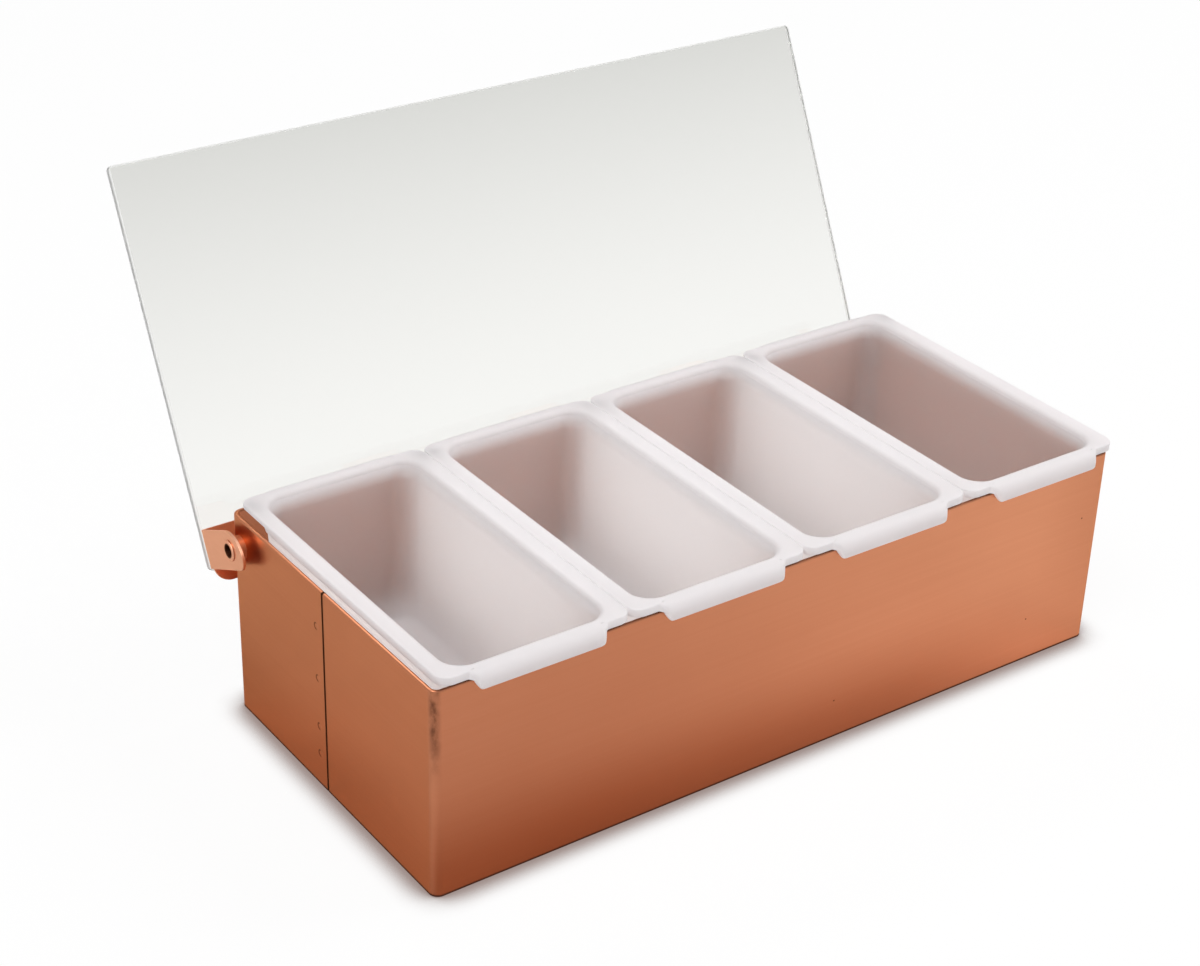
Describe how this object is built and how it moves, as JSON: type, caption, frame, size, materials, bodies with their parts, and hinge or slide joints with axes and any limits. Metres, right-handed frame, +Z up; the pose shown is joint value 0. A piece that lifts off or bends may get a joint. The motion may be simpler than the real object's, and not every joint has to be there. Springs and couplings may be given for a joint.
{
  "type": "condiment holder",
  "caption": "Long copper-finished sheet box that carries lift-out plastic condiment tubs side by side, with a clear flat lid on a riveted hinge bracket at the back.",
  "frame": {"origin": "middle of the casing's underside", "axes": "+X along the length to the right, +Y to the back where the lid is hinged, +Z up"},
  "size_m": [0.3104, 0.2158, 0.1882],
  "materials": {
    "copper_sheet": "satin copper plating with a fine lengthwise brushing",
    "copper_rivet": "paler satin copper plating",
    "tub_plastic": "smooth moulded white plastic, slightly translucent",
    "clear_acrylic": "clear polished acrylic sheet"
  },
  "bodies": {
    "casing": {"casing_wrap": "copper_sheet", "base_pan": "copper_sheet", "hinge_rivet_left": "copper_rivet", "hinge_rivet_right": "copper_rivet", "hinge_spacer_left": "copper_rivet", "hinge_spacer_right": "copper_rivet"},
    "lid": {"lid_panel": "clear_acrylic", "lid_bracket": "copper_sheet", "lid_rivets": "copper_rivet"},
    "tub_1": {"tub_1": "tub_plastic"},
    "tub_2": {"tub_2": "tub_plastic"},
    "tub_3": {"tub_3": "tub_plastic"},
    "tub_4": {"tub_4": "tub_plastic"}
  },
  "joints": [
    {"name": "lid_hinge", "type": "hinge", "parent": "casing", "child": "lid", "pos_m": [0, 0.0615, 0.0705], "axis": [-1, 0, 0], "range_deg": [-118.4, 14.2]},
    {"name": "tub_1_lift", "type": "slide", "parent": "casing", "child": "tub_1", "axis": [0, 0, 1], "range_m": [0, 0.1]},
    {"name": "tub_2_lift", "type": "slide", "parent": "casing", "child": "tub_2", "axis": [0, 0, 1], "range_m": [0, 0.1]},
    {"name": "tub_3_lift", "type": "slide", "parent": "casing", "child": "tub_3", "axis": [0, 0, 1], "range_m": [0, 0.1]},
    {"name": "tub_4_lift", "type": "slide", "parent": "casing", "child": "tub_4", "axis": [0, 0, 1], "range_m": [0, 0.1]}
  ]
}
